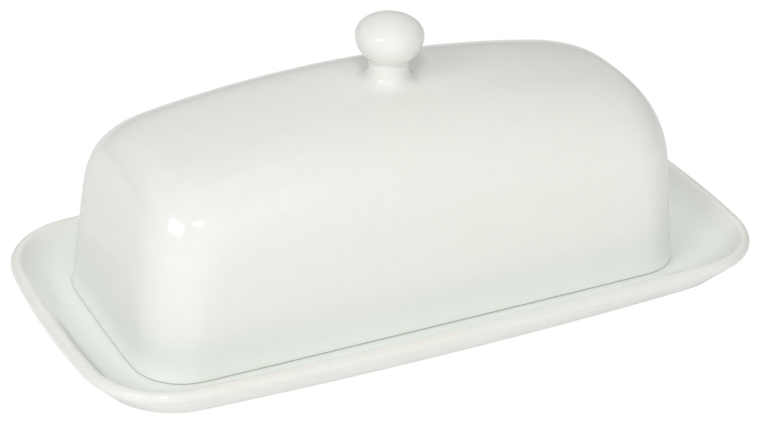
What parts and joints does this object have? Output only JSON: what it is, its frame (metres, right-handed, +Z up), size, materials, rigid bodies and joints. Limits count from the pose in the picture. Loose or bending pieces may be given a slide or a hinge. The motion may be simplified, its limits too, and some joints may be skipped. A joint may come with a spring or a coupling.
{
  "type": "butter dish",
  "caption": "Glazed ceramic butter dish: a shallow tray with a rounded lip and a tall hollow cover that lifts off by its knob.",
  "frame": {"origin": "centre of the tray's foot ring, on the surface that the dish stands on", "axes": "+X along the length of the tray, +Y across it, +Z up, the way the cover lifts"},
  "size_m": [0.2, 0.1, 0.0801],
  "materials": {
    "tray_glaze": "glossy white glaze, unglazed foot ring",
    "lid_glaze": "glossy white glaze",
    "knob_glaze": "glossy white glaze"
  },
  "bodies": {
    "tray_body": {"tray": "tray_glaze"},
    "cover_body": {"lid_shell": "lid_glaze", "knob": "knob_glaze"}
  },
  "joints": [
    {"name": "lid_lift", "type": "slide", "parent": "tray_body", "child": "cover_body", "axis": [0, 0, 1], "range_m": [0, 0.1]}
  ]
}
